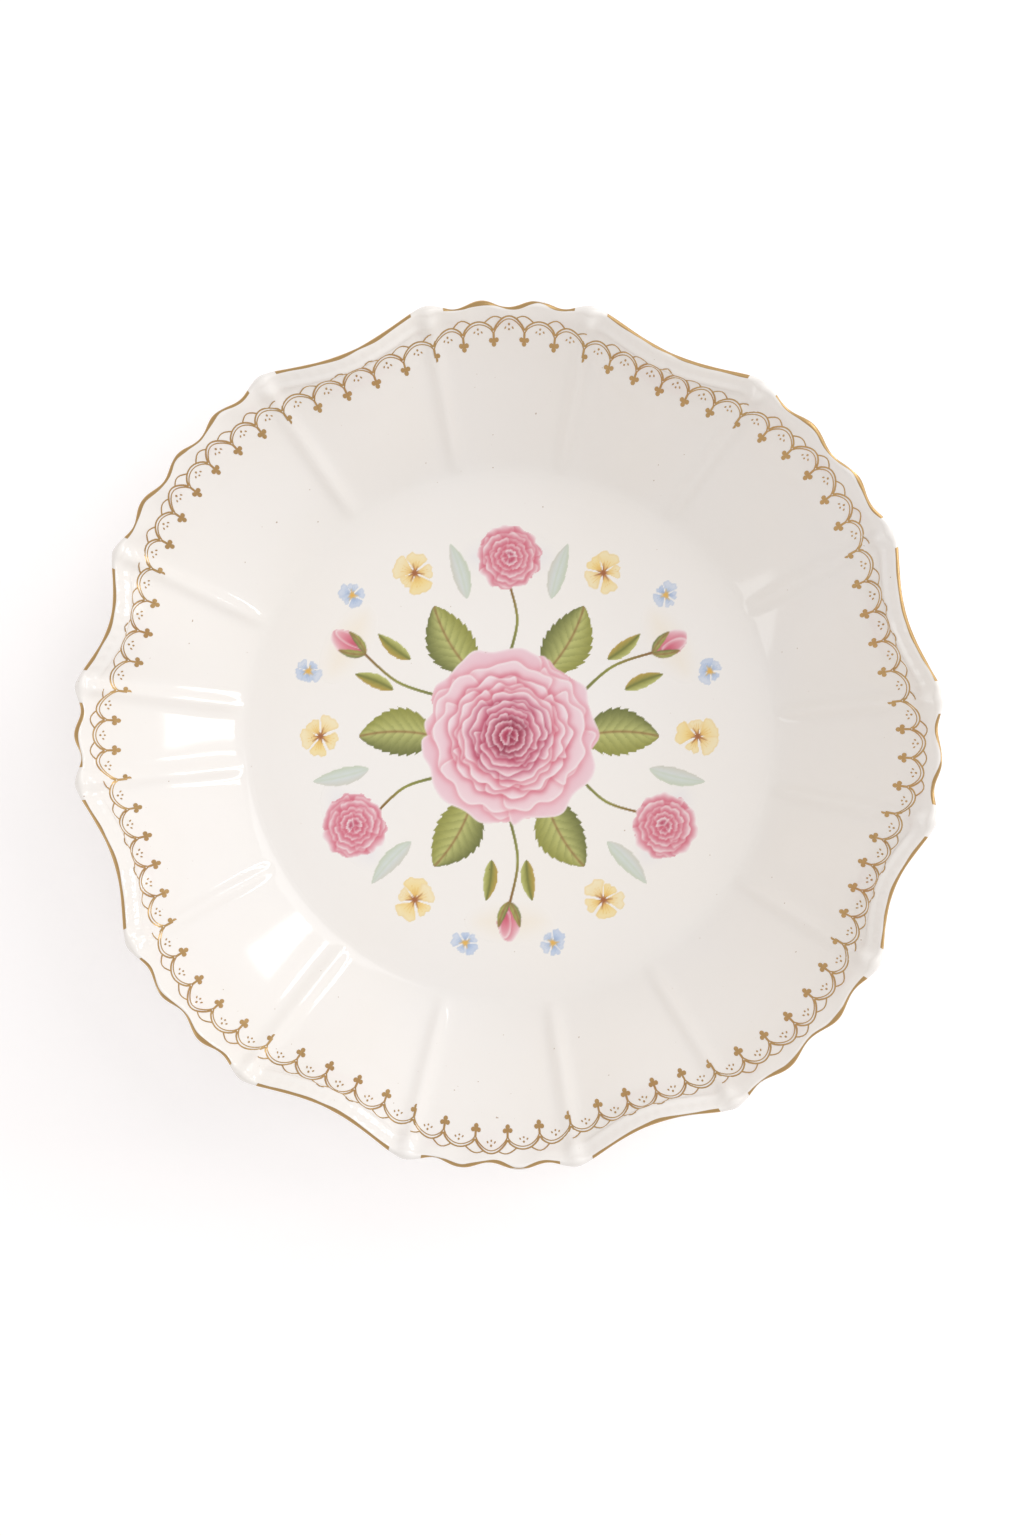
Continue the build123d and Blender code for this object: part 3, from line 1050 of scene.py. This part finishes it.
def paint_sprig(paint):
    """Fine green leaves below the buds."""
    paint.begin("sprig")
    paint_leaves(paint, SPRIG_LEAVES, (LIME, OLIVE, OCHRE), teeth=4, veins=5, rib=MOSS, dark=0.18)


def paint_stems(paint):
    """Stems from the rose to the small roses and the buds."""
    paint.begin("stems")
    for bearing, base, tip, sway in STEMS:
        for turned in repeated([bearing]):
            bend = on_compass(turned + sway, (base + tip) / 2)
            line = [on_compass(turned, base), bend, on_compass(turned, tip)]
            paint.stroke(line, (1.0, 0.9, 0.8), (MOSS, OLIVE, UMBER))


def paint_blossoms(paint, layout, colours, eye):
    bearings, place, radius = layout
    for number, bearing in enumerate(repeated(bearings)):
        paint.blossom(on_compass(bearing, place), radius, 5, colours, eye, 31 * number)


def paint_yellow_blossoms(paint):
    """Open yellow flowers between the garlands."""
    paint.begin("yellow_blossoms")
    paint_blossoms(paint, YELLOW_BLOSSOMS, (GOLDEN, YELLOW, STRAW), RUST)


def paint_blue_blossoms(paint):
    """Small blue flowers on either side of each bud."""
    paint.begin("blue_blossoms")
    paint_blossoms(paint, BLUE_BLOSSOMS, ((150, 172, 206), (184, 200, 226), SKY), GOLDEN)


def paint_rose_leaves(paint):
    """Broad toothed leaves round the rose."""
    paint.begin("rose_leaves")
    paint_leaves(paint, ROSE_LEAVES, (OLIVE, LIME, MOSS), teeth=9, veins=8)


def paint_rose_outer_petals(paint):
    """The rose's broad outer petals."""
    paint.begin("rose_outer_petals")
    paint.petals_from = len(paint.motifs) - 1
    paint.patch(oval((0, 0), (ROSE_RADIUS * 0.9,) * 2, 0, 16), (0, 0), (ROSE, ROSE, PINK))
    paint.whorl((0, 0), [
        (ROSE_RADIUS, 7, 15, (DEEP, (226, 160, 176), (236, 206, 214)), ROSE),
        (ROSE_RADIUS * 0.88, 7, 42, (DEEP, (230, 172, 186), (238, 214, 220)), ROSE),
    ])


def paint_rose_inner_petals(paint):
    """The rings of petals between the outer ones and the heart."""
    paint.begin("rose_inner_petals")
    radius = ROSE_RADIUS * ROSE_INNER
    paint.whorl((0, 0), [
        (radius, 7, 70, (CRIMSON, (224, 150, 166), (240, 222, 228)), DEEP),
        (radius * 0.87, 7, 98, (CRIMSON, (220, 138, 156), (240, 220, 226)), DEEP),
        (radius * 0.74, 6, 125, (CRIMSON, (216, 124, 144), (239, 214, 221)), DEEP),
        (radius * 0.61, 6, 152, (WINE, (212, 112, 134), (238, 208, 215)), CRIMSON),
    ])


def paint_rose_heart(paint):
    """The furled petals in the middle of the rose."""
    paint.begin("rose_heart")
    radius = ROSE_RADIUS * ROSE_HEART
    paint.whorl((0, 0), [
        (radius, 5, 180, (WINE, (206, 100, 122), (236, 200, 208)), CRIMSON),
        (radius * 0.76, 5, 215, (WINE, (198, 88, 112), (232, 188, 198)), CRIMSON),
        (radius * 0.54, 4, 250, (WINE, (188, 76, 100), (226, 172, 184)), WINE),
        (radius * 0.32, 3, 290, (WINE, CRIMSON, (216, 150, 164)), WINE),
    ], 0.1)


def paint_small_rose(paint):
    """The small roses, one to each garland."""
    paint.begin("small_rose")
    for number, bearing in enumerate(repeated([SMALL_ROSE_BEARING])):
        rings = []
        for ring, share in enumerate((1.0, 0.8, 0.6, 0.42, 0.25)):
            middle = mix((226, 156, 170), CRIMSON, ring / 5)
            phase = 38 * ring + 50 * number
            rings.append((SMALL_ROSE_RADIUS * share, 6 - ring // 2, phase, (CRIMSON, middle, BLUSH), DEEP))
        paint.whorl(on_compass(bearing, SMALL_ROSE_PLACE), rings, 0.2)


def paint_rosebud(paint):
    """Closed buds that point outwards, each held by two sepals."""
    paint.begin("rosebud")
    wide, tall = BUD_SIZE
    for bearing in repeated([BUD_BEARING]):
        root = on_compass(bearing, BUD_PLACE - tall)
        middle = on_compass(bearing, BUD_PLACE)
        paint.petal(oval(middle, (wide * 0.8, tall * 0.95), -bearing), root, (DEEP, ROSE, BLUSH))
        fold = on_compass(bearing + 1.4, BUD_PLACE + 0.5)
        paint.petal(oval(fold, (wide * 0.42, tall * 0.75), -bearing), root, (CRIMSON, DEEP, PINK))
        for side in (-1, 1):
            tip = on_compass(bearing + side * 3.2, BUD_PLACE + tall * 0.3)
            paint.leaf(root, tip, wide * 0.55, (OLIVE, LIME, MOSS), side * -0.6, 3, 3)


PAINTERS = [
    paint_pale_leaves,
    paint_sprig,
    paint_stems,
    paint_yellow_blossoms,
    paint_blue_blossoms,
    paint_rose_leaves,
    paint_rose_outer_petals,
    paint_rose_inner_petals,
    paint_rose_heart,
    paint_small_rose,
    paint_rosebud,
]


CANVAS = []


def painted():
    """The whole transfer, painted once and kept for every operator that lays films."""
    if not CANVAS:
        paint = Paint()
        for painter in PAINTERS:
            painter(paint)
        CANVAS.append(paint)
    return CANVAS[0]


def lay_films(films):
    """Lay the films of these motifs, given as (name, node, slot)."""
    material = bpy.data.materials.get("flower_enamel") or paint_material()
    for name, node, slot in films:
        verts, faces, colours = painted().film(node)
        film = add_mesh(name, verts, faces, material, colours)
        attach(film, "root")
        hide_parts(node)


class BOWL_OT_foliage(bpy.types.Operator):
    """Lay the films of the leaves, the sprig and the stems"""

    bl_idname = "bowl.foliage"
    bl_label = "Leaves, sprig and stems"

    def execute(self, context):
        lay_films([
            ("pale_leaf_film", "pale_leaves", "pale_leaf_enamel"),
            ("sprig_film", "sprig", "leaf_enamel"),
            ("stem_film", "stems", "stem_enamel"),
            ("rose_leaf_film", "rose_leaves", "leaf_enamel"),
        ])
        return {"FINISHED"}


class BOWL_OT_blossoms(bpy.types.Operator):
    """Lay the films of the yellow and the blue blossoms"""

    bl_idname = "bowl.blossoms"
    bl_label = "Yellow and blue blossoms"

    def execute(self, context):
        lay_films([
            ("yellow_blossom_film", "yellow_blossoms", "yellow_enamel"),
            ("blue_blossom_film", "blue_blossoms", "blue_enamel"),
        ])
        return {"FINISHED"}


class BOWL_OT_roses(bpy.types.Operator):
    """Lay the films of the rose, the small roses and the buds"""

    bl_idname = "bowl.roses"
    bl_label = "Roses and buds"

    def execute(self, context):
        lay_films([
            ("rose_outer_film", "rose_outer_petals", "pale_pink_enamel"),
            ("rose_inner_film", "rose_inner_petals", "rose_enamel"),
            ("rose_heart_film", "rose_heart", "crimson_enamel"),
            ("small_rose_film", "small_rose", "rose_enamel"),
            ("rosebud_film", "rosebud", "leaf_enamel"),
        ])
        return {"FINISHED"}


# --- Panel and run


class BOWL_PT_panel(bpy.types.Panel):
    """Lists the bowl's operators and sizes"""

    bl_idname = "BOWL_PT_panel"
    bl_label = "Porcelain bowl"
    bl_space_type = "VIEW_3D"
    bl_region_type = "UI"
    bl_category = "Bowl"

    def draw(self, context):
        layout = self.layout
        for operator in OPERATORS:
            layout.operator(operator.bl_idname)
        for name, group in GROUPS.items():
            box = layout.box()
            for item in group.__annotations__:
                box.prop(getattr(context.scene, name), item)


OPERATORS = [
    BOWL_OT_body,
    BOWL_OT_gilding,
    BOWL_OT_lace,
    BOWL_OT_foliage,
    BOWL_OT_blossoms,
    BOWL_OT_roses,
    BOWL_OT_stage,
]
CLASSES = [*GROUPS.values(), *OPERATORS, BOWL_PT_panel]


def register():
    for item in CLASSES:
        bpy.utils.register_class(item)
    for name, group in GROUPS.items():
        setattr(bpy.types.Scene, name, PointerProperty(type=group))


def unregister():
    for name in GROUPS:
        delattr(bpy.types.Scene, name)
    for item in reversed(CLASSES):
        bpy.utils.unregister_class(item)


def main():
    register()
    for operator in OPERATORS:
        group, name = operator.bl_idname.split(".")
        getattr(getattr(bpy.ops, group), name)()
    deselect()


if __name__ == "__main__":
    main()
